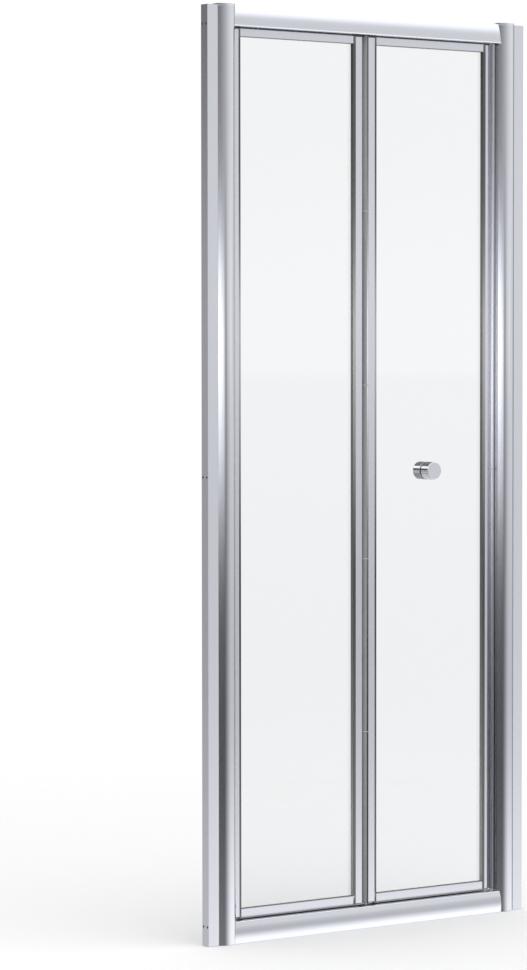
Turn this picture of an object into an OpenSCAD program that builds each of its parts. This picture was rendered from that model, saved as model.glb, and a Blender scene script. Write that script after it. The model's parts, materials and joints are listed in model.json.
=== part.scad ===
// Bifold shower door for a recess: fixed frame, two framed glass panels, knuckle hinge and guide shoes.
// X runs along the door, Y runs back into the shower, Z is up.
// Origin: middle of the sill's underside, on the plane of the wall channels' front faces.

/* [Overall] */
// Width from wall to wall
frame_w = 800; // [760:10:900]
// Height to the top of the post caps
frame_h = 1850; // [1750:10:2000]

/* [Wall channel] */
// Width of the wall channel, off the wall
channel_w = 24.5; // [22:0.5:30]
// Depth of the wall channel, front to back
channel_d = 22; // [21:0.5:24]
// Wall thickness of the channel
channel_t = 1.8; // [1.2:0.1:2.4]
// Drop of the channel's top below the cap's top
channel_drop = 3; // [1:0.5:5]
// Diameter of the fixing holes in the channel's web
fix_hole_d = 4.8; // [4:0.2:5.6]
// Spacing of the two fixing holes at each height
fix_pair = 13; // [10:0.5:14]
// Distance of the end fixing holes from the channel's ends
fix_end = 38; // [30:1:60]

/* [Post] */
// Width of the post's face
post_w = 41.5; // [38:0.5:48]
// How far the post's round front stands forward of its corners
post_bulge = 9.5; // [6:0.5:12]
// Set-back of the post's corners from the channel's front face
post_front = 0.6; // [0.2:0.1:1.2]
// Wall thickness of the post
post_t = 1.6; // [1.2:0.1:2]
// Gap between the post's face and the channel's edge
post_gap = 0.2; // [0.1:0.1:0.6]
// Reach of the post's tongue into the wall channel
tongue_l = 15; // [12:0.5:18]
// Sliding clearance of the tongue in the channel
tongue_gap = 0.2; // [0.1:0.05:0.4]
// Height of the post cap that shows
cap_h = 5.5; // [4:0.5:8]
// Depth of the cap's spigot in the post
cap_spigot = 8; // [5:0.5:12]

/* [Rails] */
// Height of the head rail
head_h = 39.8; // [36:0.2:44]
// Forward edge of the head rail at its foot, in front of the channel plane
head_front = 3; // [2:0.1:4]
// Back of the head rail
head_back = 24; // [23.5:0.1:24.8]
// Height of the sill
sill_h = 43.8; // [40:0.2:48]
// Forward edge of the sill at its fullest, in front of the channel plane
sill_front = 5.2; // [4:0.1:6]
// Height of the sill's fullest point
sill_full_z = 14; // [8:1:20]
// Back of the sill
sill_back = 38; // [36:0.5:44]
// Length of the sill's inner slope, front to back
sill_slope_l = 8; // [5:0.5:12]
// Fall of the sill's inner slope
sill_slope_h = 6; // [3:0.5:10]
// Radius of the rails' convex fronts
rail_front_r = 200; // [150:5:300]
// Wall thickness of the rails
rail_t = 1.6; // [1.2:0.1:2]
// Radius of the bead along the edge of each rail next to the panels
bead_r = 1.4; // [1:0.1:1.8]
// Width of the guide groove
groove_w = 9.4; // [9:0.1:10]
// Depth of the guide groove
groove_depth = 17; // [16:0.5:20]
// Gap where a rail is coped round a post
cope_gap = 0.15; // [0.1:0.05:0.3]
// Height of the lower screw port above a rail's foot
port_low = 10; // [8:0.5:12]
// Height of the head rail's upper port above its foot
head_port_high = 24; // [20:0.5:26]
// Height of the sill's upper port above its foot
sill_port_high = 31.5; // [26:0.5:33]
// Distance of the ports in front of the groove's wall
port_inset = 5.5; // [5:0.1:6]
// Wall round a screw port
port_wall = 1.5; // [1.2:0.1:1.8]

/* [Axes] */
// Distance of the three vertical axes behind the channel plane
axis_y = 16; // [15.5:0.1:16.4]
// Distance of the pivot and guide axes from the posts' inner faces
axis_inset = 1.7; // [1.5:0.1:2.2]
// Radius of the round noses and knuckles
nose_r = 5.7; // [5.4:0.1:6]
// Gap between a nose and the cove in its post
cove_gap = 1; // [0.8:0.1:1.2]
// Radius of the pivot, guide and fold pins
pin_r = 2.5; // [2:0.1:2.8]
// Radial running clearance of a pin in its bore
pin_clear = 0.05; // [0.03:0.01:0.08]
// Radial clearance of a pin where it is fixed
pin_seat = 0.01; // [0.01:0.01:0.02]
// Depth of the pin bores in the noses
pin_bore = 32; // [24:1:40]
// Number of knuckles on the fold hinge
knuckles = 5; // [3:2:9]
// Gap between neighbouring knuckles
knuckle_gap = 1; // [0.8:0.1:1.6]
// Thickness of a fold washer
washer_t = 0.8; // [0.6:0.1:0.8]

/* [Panels] */
// Gap between the sill and the panels
panel_gap_low = 3.2; // [2.8:0.1:5]
// Gap between the head rail and the panels
panel_gap_top = 1.7; // [1.2:0.1:3]
// Step of the stiles' fronts behind the axes
stile_step = 1.5; // [1.2:0.1:2]
// Depth of the stiles, front to back
stile_d = 19; // [18.5:0.5:25]
// Wall thickness of the stiles
stile_t = 1.7; // [1.3:0.1:2]
// Width of the hinge stiles
hinge_stile_w = 18; // [16:0.5:22]
// Gap between a hinge stile's side and the knuckles
hinge_gap = 0.35; // [0.3:0.05:0.6]
// Width of the outer stiles
outer_stile_w = 11.3; // [10.8:0.1:14]
// Gap between an outer stile's side and its nose
outer_gap = 1.6; // [1.2:0.1:2.2]
// Depth of the glazing channel in the stiles
channel_depth = 9.5; // [8.6:0.1:9.5]
// Thickness of the neck that joins a nose or knuckle to its stile
neck_t = 3; // [2.4:0.1:3]
// Thickness of the stile end caps
end_cap_t = 1.5; // [1:0.1:2]
// Gap between the panel rails and the walls of the stiles' channels
rail_slip = 0.1; // [0.05:0.05:0.2]
// Height of the top panel rail
top_rail_h = 14.9; // [14:0.1:18]
// Height of the bottom panel rail
low_rail_h = 16.2; // [14:0.1:20]
// Wall thickness of the panel rails
panel_rail_t = 1.3; // [1.2:0.1:1.6]
// Thickness of the glass
glass_t = 4; // [3.6:0.2:4.4]
// Distance of the glass behind the stiles' fronts
glass_setback = 10.5; // [10:0.1:10.9]
// Overlap of the glass in the stiles and panel rails
glass_bite = 7; // [6:0.5:7.5]
// Width of the gasket's bead beside the stiles
gasket_side = 4.6; // [3:0.2:6]
// Width of gasket that shows along the panel rails
gasket_edge = 0.8; // [0.5:0.1:3]
// Thickness of the wiper's carrier under a panel
wiper_t = 1.2; // [0.8:0.1:1.6]
// Thickness of the wiper's lip
wiper_lip_t = 1.2; // [0.8:0.1:1.6]
// Gap left between the wiper's lip and the sill
wiper_gap = 0.3; // [0.2:0.1:0.5]

/* [Knob] */
// Height of the knob's centre
knob_z = 925; // [850:5:1100]
// Radius of the knob
knob_r = 18.2; // [15:0.2:22]
// Length of each half of the knob, off the glass
knob_l = 23.5; // [20:0.5:30]
// Thickness of the soft washers between knob and glass
knob_washer_t = 0.8; // [0.6:0.1:1.5]
// Radius of the hole in the glass
knob_hole_r = 4.5; // [4.2:0.1:6]
// Radius of the knob's stud
knob_stud_r = 3; // [2.5:0.1:3]

/* [Seals] */
// Face gap between the seal strips in the posts and the noses
strip_gap = 0.3; // [0.2:0.05:0.4]
// Thickness of the seal strips in the posts
strip_t = 1.5; // [1.2:0.1:1.7]
// Half width of the seal strips in the posts
strip_half = 3.2; // [2.5:0.1:3.6]
// Distance of the leading magnet's inner face from the guide axis
magnet_face = 3.8; // [3.4:0.1:4.2]

/* [Guide shoes and pivot blocks] */
// Side clearance of a guide shoe in its groove
shoe_gap = 0.25; // [0.15:0.05:0.4]
// Side clearance of a pivot block in its groove
block_gap = 0.1; // [0.05:0.05:0.2]
// Length of a shoe from its axis to its tail
shoe_l = 22; // [18:1:30]
// Height of a guide shoe
shoe_h = 12; // [10:0.5:14]
// Set-back of a pivot block's face inside its groove
block_inset = 1; // [0.5:0.1:2]
// Length of a pivot block from its axis to its tail
block_l = 18; // [16:1:26]
// Depth of a shoe inside the mouth of its groove
shoe_inset = 2; // [1:0.5:3]
// Distance of a block's screw from its tail
block_screw_end = 5; // [4.5:0.1:6]
// Wall of the nylon spacers round the pivot pins
spacer_wall = 1; // [0.8:0.1:1.4]
// Reach of the pins out of the noses
pin_reach = 14; // [10:0.5:16]

/* [Screws] */
// Shank radius of the frame and corner screws
screw_r = 1.9; // [1.7:0.1:2.1]
// Head radius of the frame and corner screws
screw_head_r = 2.9; // [2.7:0.1:3]
// Head height of the frame and corner screws
screw_head_h = 1.6; // [1.2:0.1:1.6]
// Clearance between a screw's shank and its hole
screw_clear = 0.2; // [0.1:0.05:0.3]
// Depth that a screw's thread cuts into the wall of its port
thread_bite = 0.3; // [0.2:0.05:0.4]
// Depth of the screw heads below the faces of the pivot blocks
head_sink = 0.4; // [0.2:0.1:0.8]
// Grip of a screw in the port that it cuts into
screw_grip = 12; // [8:1:18]
// Radius of the jamb screw covers
cover_r = 5.5; // [4.8:0.1:6.5]
// Height of the jamb screw covers
cover_h = 3.4; // [3:0.1:4.5]
// Distance of the end jamb screws from the channel's ends
jamb_screw_end = 150; // [100:10:250]
// Height of the screw on the pivot stile's nose
nose_screw_z = 927; // [800:1:1100]
// Length of the nose screw's shank
nose_screw_l = 5; // [4:0.5:6]

/* [Hidden] */
$fn = 64;

// Segments on the large arcs
FINE = 360;
// Overshoot of a cut past the face that it opens
EPS = 1;
// Overlap of two solids that make one piece
WELD = 0.2;

POLISHED = [0.80, 0.81, 0.84];
CHROME = [0.86, 0.87, 0.90];
STEEL = [0.62, 0.63, 0.65];
NYLON = [0.82, 0.82, 0.80];
RUBBER = [0.24, 0.25, 0.25];
BLACK = [0.10, 0.10, 0.11];
GLASS = [0.86, 0.93, 0.95, 0.35];

half_w = frame_w / 2;
channel_h = frame_h - channel_drop;
post_h = frame_h - cap_h;
fix_z = [fix_end, channel_h / 2, channel_h - fix_end];
jamb_z = [jamb_screw_end, channel_h / 2, channel_h - jamb_screw_end];

// Post, in distances from the wall
post_w0 = channel_w + post_gap;
post_w1 = post_w0 + post_w;
post_mid = post_w0 + post_w / 2;
post_back = channel_d - channel_t - tongue_gap;
post_arc_r = (pow(post_w / 2, 2) + pow(post_bulge, 2)) / (2 * post_bulge);
post_arc_y = post_front - post_bulge + post_arc_r;
tongue_w0 = post_w0 - tongue_l;
tongue_front = channel_t + tongue_gap;
jamb_screw_w = tongue_w0 + tongue_l / 2;

// Axes
axis_w = post_w1 + axis_inset;
arm = half_w - axis_w;
cove_r = nose_r + cove_gap;

// Rails
head_top = channel_h;
head_z0 = head_top - head_h;
chamber_back = axis_y - groove_w / 2 - rail_t;
port_y = chamber_back - port_inset;
port_r = screw_r - thread_bite;
port_boss_r = port_r + port_wall;
head_ports = [head_z0 + port_low, head_z0 + head_port_high];
sill_ports = [port_low, sill_port_high];

// Panels
panel_z0 = sill_h + panel_gap_low;
panel_z1 = head_z0 - panel_gap_top;
stile_y0 = axis_y + stile_step;
stile_y1 = stile_y0 + stile_d;
hinge_x0 = nose_r + hinge_gap;
hinge_x1 = hinge_x0 + hinge_stile_w;
outer_x0 = nose_r + outer_gap;
outer_x1 = outer_x0 + outer_stile_w;
bay_x0 = hinge_x1;
bay_x1 = arm - outer_x1;
glass_x0 = bay_x0 - glass_bite;
glass_x1 = bay_x1 + glass_bite;
glass_y = stile_y0 + glass_setback;
// Room between the glass's edge and the root of the panel rails' slots
glass_seat = 1.6;
// Gap between the gasket and the metal round it
gasket_gap = 0.1;
glass_z0 = panel_z0 + low_rail_h - glass_bite;
glass_z1 = panel_z1 - top_rail_h + glass_bite;
rail_y0 = stile_y0 + stile_t + rail_slip;
rail_y1 = stile_y1 - stile_t - rail_slip;
panel_rail_d = rail_y1 - rail_y0;
knob_x = (bay_x0 + bay_x1) / 2;
corner_port_y = (rail_y0 + rail_y1) / 2;
// Distance of the corner screws from the panel's ends
corner_port_off = 3.4;
corner_zs = [panel_z0 + corner_port_off, panel_z1 - corner_port_off];

// Pins, shoes and blocks
shoe_r = groove_w / 2 - shoe_gap;
block_r = groove_w / 2 - block_gap;
spacer_r = pin_r + spacer_wall;
shoe_top_z = head_z0 + shoe_inset;
shoe_low_z = sill_h - shoe_inset - shoe_h;
block_h = groove_depth - block_inset;
block_top_z = head_z0 + block_inset;
block_low_z = sill_h - groove_depth;
block_screw_x = block_l - block_screw_end;
block_screw_seat = screw_head_h + head_sink;
knuckle_pitch = (panel_z1 - panel_z0 + knuckle_gap) / knuckles;

// ---- Shared shapes ----

// Pan-head screw with its head on top of the plane z = 0 and its shank below
module pan_screw(shank_l, shank_r = screw_r) {
    recess_w = 0.9;
    recess_l = screw_head_r * 1.2;
    recess_z = screw_head_h * 0.4;
    rim_h = screw_head_h * 0.45;
    crown_r = screw_head_r * 0.72;
    difference() {
        union() {
            rotate_extrude() polygon([
                [0, 0], [screw_head_r, 0], [screw_head_r, rim_h], [crown_r, screw_head_h], [0, screw_head_h]
            ]);
            translate([0, 0, -shank_l]) cylinder(r = shank_r, h = shank_l + WELD);
        }
        for (a = [0, 90]) rotate([0, 0, a]) translate([-recess_l / 2, -recess_w / 2, recess_z])
            cube([recess_l, recess_w, screw_head_h]);
    }
}

// Screw whose shank is as thick as the port that it has cut into
module thread_cutter(shank_l) {
    pan_screw(shank_l, port_r - pin_seat);
}

// Bar along X with the section drawn in Y and Z, between x0 and x1
module bar_x(x0, x1) {
    rotate([90, 0, 90]) translate([0, 0, x0]) linear_extrude(x1 - x0) children();
}

// Left-hand frame piece: its child is drawn with x as the distance from the wall
module at_left_wall() {
    translate([-half_w, 0, 0]) children();
}

module at_right_wall() {
    mirror([1, 0, 0]) at_left_wall() children();
}

// Moves a piece of the right-hand panel onto the left-hand one
module on_slide_panel() {
    mirror([1, 0, 0]) children();
}

// ---- Frame ----

module channel_part() {
    difference() {
        linear_extrude(channel_h) difference() {
            square([channel_w, channel_d]);
            translate([channel_t, channel_t]) square([channel_w, channel_d - 2 * channel_t]);
        }
        for (z = fix_z, s = [-1, 1])
            translate([-EPS, channel_d / 2 + s * fix_pair / 2, z]) rotate([0, 90, 0])
                cylinder(d = fix_hole_d, h = channel_t + 2 * EPS);
        for (z = jamb_z)
            translate([jamb_screw_w, channel_d - channel_t - EPS, z]) rotate([-90, 0, 0])
                cylinder(r = screw_r + screw_clear, h = channel_t + 2 * EPS);
    }
}

// Outline of the post's face and body, grown by g
module post_outline(g = 0) {
    intersection() {
        translate([post_mid, post_arc_y]) circle(r = post_arc_r + g, $fn = FINE);
        translate([post_w0 - g, post_front - post_bulge - g])
            square([post_w + 2 * g, post_back - post_front + post_bulge + g]);
    }
}

module tongue_outline() {
    translate([tongue_w0, tongue_front]) square([tongue_l + post_t, post_back - tongue_front]);
}

// Space inside the post, with the wall round the cove left standing
module post_hollow(g = 0) {
    difference() {
        intersection() {
            translate([post_mid, post_arc_y]) circle(r = post_arc_r - post_t - g, $fn = FINE);
            translate([post_w0 + post_t + g, post_front - post_bulge])
                square([post_w - 2 * post_t - 2 * g, post_back - post_t - g - post_front + post_bulge]);
        }
        translate([axis_w, axis_y]) circle(r = cove_r + post_t + g);
    }
}

module tongue_hollow() {
    translate([tongue_w0 + post_t, tongue_front + post_t])
        square([tongue_l - post_t, post_back - tongue_front - 2 * post_t]);
}

// Seal strip seated in the root of the cove, grown by g
module strip_section(g = 0) {
    intersection() {
        translate([axis_w, axis_y]) difference() {
            circle(r = nose_r + strip_gap + strip_t + g);
            circle(r = nose_r + strip_gap);
        }
        translate([axis_w - 2 * cove_r, axis_y - strip_half - g]) square([2 * cove_r, 2 * (strip_half + g)]);
    }
}

module post_part() {
    strip_seat_gap = 0.05;
    difference() {
        linear_extrude(post_h) difference() {
            union() {
                post_outline();
                tongue_outline();
            }
            post_hollow();
            tongue_hollow();
            translate([axis_w, axis_y]) circle(r = cove_r);
            strip_section(strip_seat_gap);
        }
        for (z = concat(head_ports, sill_ports))
            translate([post_w1 - post_t - EPS, port_y, z]) rotate([0, 90, 0])
                cylinder(r = screw_r + screw_clear, h = post_t + 2 * EPS);
        for (z = jamb_z)
            translate([jamb_screw_w, post_back - post_t - EPS, z]) rotate([-90, 0, 0])
                cylinder(r = screw_r + screw_clear / 2, h = post_t + 2 * EPS);
    }
}

module cap_part() {
    spigot_gap = 0.15;
    translate([0, 0, post_h]) linear_extrude(cap_h) difference() {
        post_outline();
        translate([axis_w, axis_y]) circle(r = cove_r);
    }
    translate([0, 0, post_h - cap_spigot]) linear_extrude(cap_spigot + WELD) post_hollow(spigot_gap);
}

module wall_channel_left() {
    color(POLISHED) at_left_wall() channel_part();
}

module wall_channel_right() {
    color(POLISHED) at_right_wall() channel_part();
}

module post_left() {
    color(POLISHED) at_left_wall() post_part();
}

module post_right() {
    color(POLISHED) at_right_wall() post_part();
}

module post_cap_left() {
    color(CHROME) at_left_wall() cap_part();
}

module post_cap_right() {
    color(CHROME) at_right_wall() cap_part();
}

// Cuts the ends of a rail to the shape of the posts
module cope() {
    difference() {
        children();
        for (s = [0, 1]) mirror([s, 0, 0]) at_left_wall()
            translate([0, 0, -EPS]) linear_extrude(frame_h + 2 * EPS) post_outline(cope_gap);
    }
}

// Convex front, fullest at height full_z and at y = -front
module rail_front(front, full_z, inset = 0) {
    translate([rail_front_r - front, full_z]) circle(r = rail_front_r - inset, $fn = 2 * FINE);
}

// Screw ports on webs in a rail's front chamber
module ports(zs) {
    for (z = zs) {
        translate([port_y, z]) circle(r = port_boss_r);
        translate([port_y, z - rail_t / 2]) square([chamber_back - port_y + EPS, rail_t]);
    }
}

module port_holes(zs) {
    for (z = zs) translate([port_y, z]) circle(r = port_r);
}

module head_section() {
    bead_back = 0.56;
    upper_z = head_z0 + groove_depth + rail_t;
    difference() {
        union() {
            difference() {
                intersection() {
                    rail_front(head_front, head_z0);
                    translate([-head_front - EPS, head_z0]) square([head_back + head_front + EPS, head_h]);
                }
                difference() {
                    intersection() {
                        rail_front(head_front, head_z0, rail_t);
                        translate([-head_front, head_z0 + rail_t])
                            square([chamber_back + head_front, head_h - 2 * rail_t]);
                    }
                    ports(head_ports);
                }
                translate([chamber_back + rail_t, upper_z])
                    square([head_back - chamber_back - 2 * rail_t, head_top - rail_t - upper_z]);
                translate([axis_y - groove_w / 2, head_z0 - EPS]) square([groove_w, groove_depth + EPS]);
            }
            translate([-head_front + bead_back, head_z0 + bead_r]) circle(r = bead_r);
        }
        port_holes(head_ports);
    }
}

module sill_section() {
    lower_h = sill_h - groove_depth - 2 * rail_t;
    back_y0 = axis_y + groove_w / 2 + rail_t;
    top_front = rail_front_r - sill_front
        - sqrt(pow(rail_front_r, 2) - pow(sill_h - sill_full_z, 2));
    difference() {
        union() {
            difference() {
                intersection() {
                    rail_front(sill_front, sill_full_z);
                    polygon([
                        [-sill_front - EPS, 0], [sill_back, 0], [sill_back, sill_h - sill_slope_h],
                        [sill_back - sill_slope_l, sill_h], [-sill_front - EPS, sill_h]
                    ]);
                }
                difference() {
                    intersection() {
                        rail_front(sill_front, sill_full_z, rail_t);
                        translate([-sill_front, rail_t])
                            square([chamber_back + sill_front, sill_h - 2 * rail_t]);
                    }
                    ports(sill_ports);
                }
                translate([chamber_back + rail_t, rail_t]) square([groove_w, lower_h]);
                polygon([
                    [back_y0, rail_t], [sill_back - rail_t, rail_t],
                    [sill_back - rail_t, sill_h - sill_slope_h - rail_t],
                    [sill_back - sill_slope_l, sill_h - rail_t], [back_y0, sill_h - rail_t]
                ]);
                translate([axis_y - groove_w / 2, sill_h - groove_depth])
                    square([groove_w, groove_depth + EPS]);
                translate([top_front - EPS, sill_h - bead_r]) square([bead_r + EPS, bead_r + EPS]);
            }
            translate([top_front + bead_r, sill_h - bead_r]) circle(r = bead_r);
        }
        port_holes(sill_ports);
    }
}

module head_rail() {
    color(POLISHED) cope() difference() {
        bar_x(-half_w + post_mid, half_w - post_mid) head_section();
        translate([arm - block_screw_x, axis_y, head_z0 + groove_depth - EPS])
            cylinder(r = port_r, h = rail_t + 2 * EPS);
    }
}

module sill_rail() {
    color(POLISHED) cope() difference() {
        bar_x(-half_w + post_mid, half_w - post_mid) sill_section();
        translate([arm - block_screw_x, axis_y, sill_h - groove_depth - rail_t - EPS])
            cylinder(r = port_r, h = rail_t + 2 * EPS);
    }
}

// Screws from inside the posts into the rails' ports
module rail_screws() {
    color(STEEL) for (s = [0, 1], z = concat(head_ports, sill_ports))
        mirror([s, 0, 0]) at_left_wall()
            translate([post_w1 - post_t, port_y, z]) rotate([0, -90, 0]) thread_cutter(post_t + screw_grip);
}

module jamb_screws() {
    tip_out = 3;
    color(STEEL) for (s = [0, 1], z = jamb_z)
        mirror([s, 0, 0]) at_left_wall()
            translate([jamb_screw_w, channel_d, z]) rotate([-90, 0, 0])
                pan_screw(channel_t + tongue_gap + post_t + tip_out);
}

// Snap-on domes over the jamb screws' heads
module jamb_screw_covers() {
    dome_r = (pow(cover_r, 2) + pow(cover_h, 2)) / (2 * cover_h);
    cup_gap = 0.2;
    color(CHROME) for (s = [0, 1], z = jamb_z)
        mirror([s, 0, 0]) at_left_wall()
            translate([jamb_screw_w, channel_d, z]) rotate([-90, 0, 0]) difference() {
                intersection() {
                    translate([0, 0, cover_h - dome_r]) sphere(r = dome_r);
                    cylinder(r = cover_r, h = cover_h);
                }
                translate([0, 0, -EPS])
                    cylinder(r = screw_head_r + cup_gap, h = screw_head_h + cup_gap + EPS);
            }
}

module seal_strip() {
    translate([0, 0, sill_h]) linear_extrude(head_z0 - sill_h) strip_section();
}

module strike_magnet() {
    color(RUBBER) at_left_wall() seal_strip();
}

module pivot_side_seal() {
    color(RUBBER) at_right_wall() seal_strip();
}

// Plan of a shoe or block: round at its pin, straight to its tail
module shoe_plan(r, l) {
    circle(r = r);
    translate([0, -r]) square([l, 2 * r]);
}

// Right-hand places are mirrored, so that a tail points along the groove, away from the post
module at_pivot_axis() {
    translate([arm, axis_y, 0]) mirror([1, 0, 0]) children();
}

module at_guide_axis() {
    translate([-arm, axis_y, 0]) children();
}

module pivot_block(z0, flip) {
    screw_hole_r = screw_r + screw_clear;
    at_pivot_axis() translate([0, 0, z0]) difference() {
        linear_extrude(block_h) shoe_plan(block_r, block_l);
        translate([0, 0, -EPS]) cylinder(r = pin_r + pin_clear, h = block_h + 2 * EPS);
        translate([block_screw_x, 0, -EPS]) cylinder(r = screw_hole_r, h = block_h + 2 * EPS);
        translate([block_screw_x, 0, flip ? block_h - block_screw_seat : -EPS])
            cylinder(r = screw_head_r + screw_clear, h = block_screw_seat + EPS);
    }
}

module pivot_block_top() {
    color(NYLON) pivot_block(block_top_z, false);
}

module pivot_block_bottom() {
    color(NYLON) pivot_block(block_low_z, true);
}

// One screw fixes each pivot block to the root of its groove
module pivot_block_screws() {
    tip_out = 1;
    top_z = block_top_z + block_screw_seat;
    low_z = block_low_z + block_h - block_screw_seat;
    color(STEEL) at_pivot_axis() {
        translate([block_screw_x, 0, top_z]) mirror([0, 0, 1])
            thread_cutter(head_z0 + groove_depth + rail_t + tip_out - top_z);
        translate([block_screw_x, 0, low_z]) thread_cutter(low_z - sill_h + groove_depth + rail_t + tip_out);
    }
}

// ---- Panels, drawn on the right-hand panel ----

// Hollow hinge stile, x from the fold axis, y from the axes' plane
module hinge_stile_section() {
    box_x1 = hinge_stile_w - channel_depth - 2 * stile_t;
    translate([hinge_x0, stile_step]) difference() {
        square([hinge_stile_w, stile_d]);
        translate([stile_t, stile_t]) square([box_x1, stile_d - 2 * stile_t]);
        translate([hinge_stile_w - channel_depth, stile_t])
            square([channel_depth + EPS, stile_d - 2 * stile_t]);
    }
}

// Outer stile, x from its nose's axis, y from the axes' plane
module outer_stile_section() {
    translate([outer_x0, stile_step]) difference() {
        square([outer_stile_w, stile_d]);
        translate([outer_stile_w - channel_depth, stile_t])
            square([channel_depth + EPS, stile_d - 2 * stile_t]);
    }
}

module neck_section(reach) {
    translate([0, stile_step]) square([reach + stile_t / 2, neck_t]);
}

// Length of the stiles between their end caps
module stile_length() {
    translate([0, 0, panel_z0 + end_cap_t]) linear_extrude(panel_z1 - panel_z0 - 2 * end_cap_t) children();
}

module hinge_stile(first) {
    difference() {
        union() {
            stile_length() hinge_stile_section();
            for (k = [first:2:knuckles - 1]) {
                z0 = panel_z0 + k * knuckle_pitch;
                z1 = z0 + knuckle_pitch - knuckle_gap;
                neck_z0 = max(z0, panel_z0 + end_cap_t);
                neck_z1 = min(z1, panel_z1 - end_cap_t);
                translate([0, 0, z0]) cylinder(r = nose_r, h = z1 - z0);
                translate([0, 0, neck_z0]) linear_extrude(neck_z1 - neck_z0) neck_section(hinge_x0);
            }
        }
        translate([0, 0, panel_z0 - EPS]) cylinder(r = pin_r + pin_clear, h = panel_z1 - panel_z0 + 2 * EPS);
        for (z = corner_zs)
            translate([hinge_x0 - EPS, corner_port_y - axis_y, z]) rotate([0, 90, 0])
                cylinder(r = screw_r + screw_clear, h = hinge_stile_w - channel_depth + 2 * EPS);
    }
}

// Stile with a full-length nose; the flat on the nose takes the magnet when flat is true
module nose_stile(flat) {
    difference() {
        union() {
            stile_length() outer_stile_section();
            stile_length() neck_section(outer_x0);
            translate([0, 0, panel_z0]) linear_extrude(panel_z1 - panel_z0) difference() {
                circle(r = nose_r);
                if (flat) magnet_side();
            }
        }
        translate([0, 0, panel_z0 - EPS]) cylinder(r = pin_r + pin_seat, h = pin_bore + EPS);
        translate([0, 0, panel_z1 - pin_bore]) cylinder(r = pin_r + pin_seat, h = pin_bore + EPS);
        for (z = corner_zs)
            translate([outer_x0 - EPS, corner_port_y - axis_y, z]) rotate([0, 90, 0])
                cylinder(r = screw_r + screw_clear, h = outer_stile_w - channel_depth + 2 * EPS);
    }
}

// The side of a nose, from its flat outward, that belongs to the magnet; moved out by g
module magnet_side(g = 0) {
    translate([-2 * nose_r - magnet_face - g, -nose_r]) square([2 * nose_r, 2 * nose_r]);
}

module pivot_stile() {
    tip_room = 1;
    bore_l = nose_screw_l + tip_room;
    color(POLISHED) at_pivot_axis() difference() {
        nose_stile(false);
        nose_screw_place() translate([0, 0, -bore_l]) cylinder(r = port_r, h = bore_l + EPS);
        nose_screw_place() cylinder(r = screw_head_r + screw_clear, h = nose_r);
    }
}

module leading_stile() {
    color(POLISHED) at_guide_axis() nose_stile(true);
}

module pivot_hinge_stile() {
    color(POLISHED) translate([0, axis_y, 0]) hinge_stile(1);
}

module slide_hinge_stile() {
    color(POLISHED) on_slide_panel() translate([0, axis_y, 0]) hinge_stile(0);
}

// Panel rail with a glazing slot and a screw port, section in Y and Z; its outer edge is at z = 0
module panel_rail_section(h) {
    slot_depth = glass_bite + glass_seat;
    difference() {
        translate([rail_y0, 0]) square([panel_rail_d, h]);
        translate([rail_y0 + panel_rail_t, h - slot_depth])
            square([panel_rail_d - 2 * panel_rail_t, slot_depth + EPS]);
        translate([corner_port_y, corner_port_off]) circle(r = port_r);
    }
}

module panel_rail_bar(h) {
    end_gap = 0.2;
    bar_x(bay_x0 - channel_depth + end_gap, bay_x1 + channel_depth - end_gap) panel_rail_section(h);
}

module low_rail() {
    translate([0, 0, panel_z0]) panel_rail_bar(low_rail_h);
}

module top_rail() {
    translate([0, 0, panel_z1]) mirror([0, 0, 1]) panel_rail_bar(top_rail_h);
}

module pane() {
    translate([glass_x0, glass_y, glass_z0]) cube([glass_x1 - glass_x0, glass_t, glass_z1 - glass_z0]);
}

// Gasket at a stile, x from the stile's edge towards the pane: block in the channel, bead over the pane
module gasket_section() {
    block_y0 = stile_y0 + stile_t + gasket_gap;
    block_y1 = stile_y1 - stile_t - gasket_gap;
    translate([gasket_gap - channel_depth, block_y0])
        square([channel_depth - gasket_gap, block_y1 - block_y0]);
    translate([-WELD, block_y0]) square([gasket_side + WELD, glass_y - block_y0]);
    gasket_lip_section(glass_setback);
}

// Flush front of the bead, d deep
module gasket_lip_section(d) {
    translate([gasket_gap, stile_y0]) square([gasket_side - gasket_gap, d]);
}

// Rubber round the pane: a bead beside each stile, in front of the rails' ends, and a lip along the rails
module gasket() {
    rail_lip_y0 = rail_y0 + panel_rail_t + gasket_gap;
    rail_lip_d = panel_rail_d - 2 * panel_rail_t - 2 * gasket_gap;
    z0 = panel_z0 + low_rail_h + gasket_gap;
    z1 = panel_z1 - top_rail_h - gasket_gap;
    lip_h = glass_bite + glass_seat - 2 * gasket_gap + gasket_edge;
    difference() {
        union() {
            for (side = [0, 1])
                translate([side ? bay_x1 : bay_x0, 0, 0]) mirror([side, 0, 0]) {
                    translate([0, 0, z0]) linear_extrude(z1 - z0) gasket_section();
                    translate([0, 0, panel_z0])
                        linear_extrude(panel_z1 - panel_z0) gasket_lip_section(stile_t);
                }
            for (z = [z0 - gasket_gap + gasket_edge - lip_h, z1 + gasket_gap - gasket_edge])
                translate([glass_x0, rail_lip_y0, z]) cube([glass_x1 - glass_x0, rail_lip_d, lip_h]);
        }
        pane();
    }
}

// Four screws through the stiles into the ends of the panel rails
module corner_screws() {
    color(STEEL) for (z = corner_zs) {
        translate([hinge_x0, corner_port_y, z]) rotate([0, -90, 0])
            thread_cutter(hinge_stile_w - channel_depth + screw_grip);
        translate([arm - outer_x0, corner_port_y, z]) rotate([0, 90, 0])
            thread_cutter(outer_stile_w - channel_depth + screw_grip);
    }
}

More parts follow.
